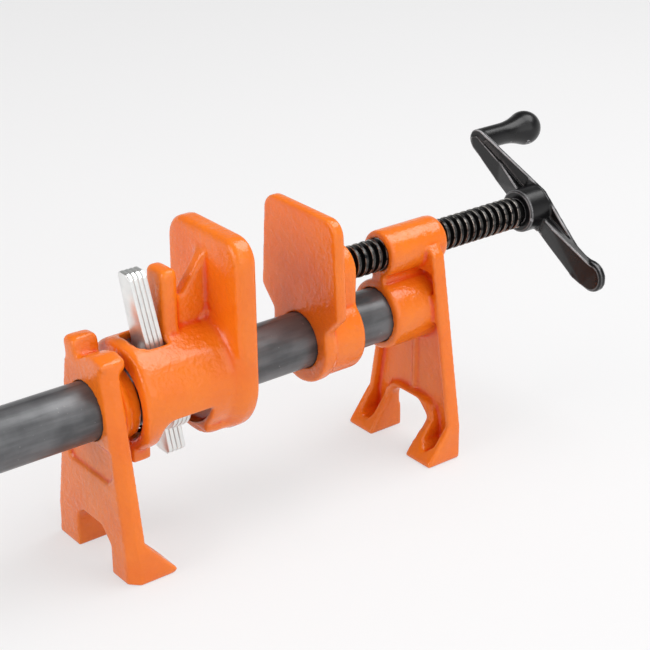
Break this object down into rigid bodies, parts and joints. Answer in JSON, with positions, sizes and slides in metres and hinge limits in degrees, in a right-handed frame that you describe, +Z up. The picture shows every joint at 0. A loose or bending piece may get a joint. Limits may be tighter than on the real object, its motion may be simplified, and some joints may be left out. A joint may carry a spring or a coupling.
{
  "type": "woodworking pipe clamp",
  "caption": "Pipe clamp for woodworking: a screw-driven sliding jaw on a footed head, and a tail jaw with a plate clutch and stand, on a steel pipe.",
  "frame": {"origin": "middle of the clamp's outline seen from above, on the bench", "axes": "+X along the pipe towards the crank, +Y to the side of the crank's grip, +Z up from the bench"},
  "size_m": [0.5756, 0.1024, 0.143],
  "materials": {
    "orange_enamel": "glossy orange enamel on a slightly rough casting",
    "dark_pipe": "dark mill-finish steel pipe",
    "dark_screw": "black oxide with worn bright crests",
    "plain_steel": "plain steel",
    "black_enamel": "semi-gloss black enamel on a zinc casting",
    "zinc_plate": "bright zinc plated steel"
  },
  "bodies": {
    "base": {"pipe": "dark_pipe", "head_casting": "orange_enamel"},
    "jaw": {"sliding_jaw": "orange_enamel", "screw_retaining_pin": "orange_enamel"},
    "screw": {"main_screw": "dark_screw", "crank_handle": "black_enamel", "crank_cross_pin": "black_enamel"},
    "tail": {"tail_jaw": "orange_enamel", "tail_stand": "orange_enamel", "clutch_spring": "plain_steel"},
    "clutch": {"clutch_plate_1": "zinc_plate", "clutch_plate_2": "zinc_plate", "clutch_plate_3": "zinc_plate", "clutch_plate_4": "zinc_plate"}
  },
  "joints": [
    {"name": "jaw_slide", "type": "slide", "parent": "base", "child": "jaw", "axis": [1, 0, 0], "range_m": [-0.0415, 0.02]},
    {"name": "screw_turn", "type": "hinge", "parent": "jaw", "child": "screw", "pos_m": [0.12045, -0.00235, 0.1053], "axis": [1, 0, 0], "continuous": true},
    {"name": "tail_slide", "type": "slide", "parent": "base", "child": "tail", "axis": [1, 0, 0], "range_m": [-0.245, 0]},
    {"name": "clutch_release", "type": "hinge", "parent": "tail", "child": "clutch", "pos_m": [0.01815, -0.00235, 0.099], "axis": [0, 1, 0], "range_deg": [0, 10], "stiffness_Nm_per_rad": 0.6, "springref_deg": -20.05, "deforming": ["clutch_spring"]}
  ],
  "couplings": [
    {"joint": "screw_turn", "follows": "jaw_slide", "rad_per_m": 1484.3}
  ]
}
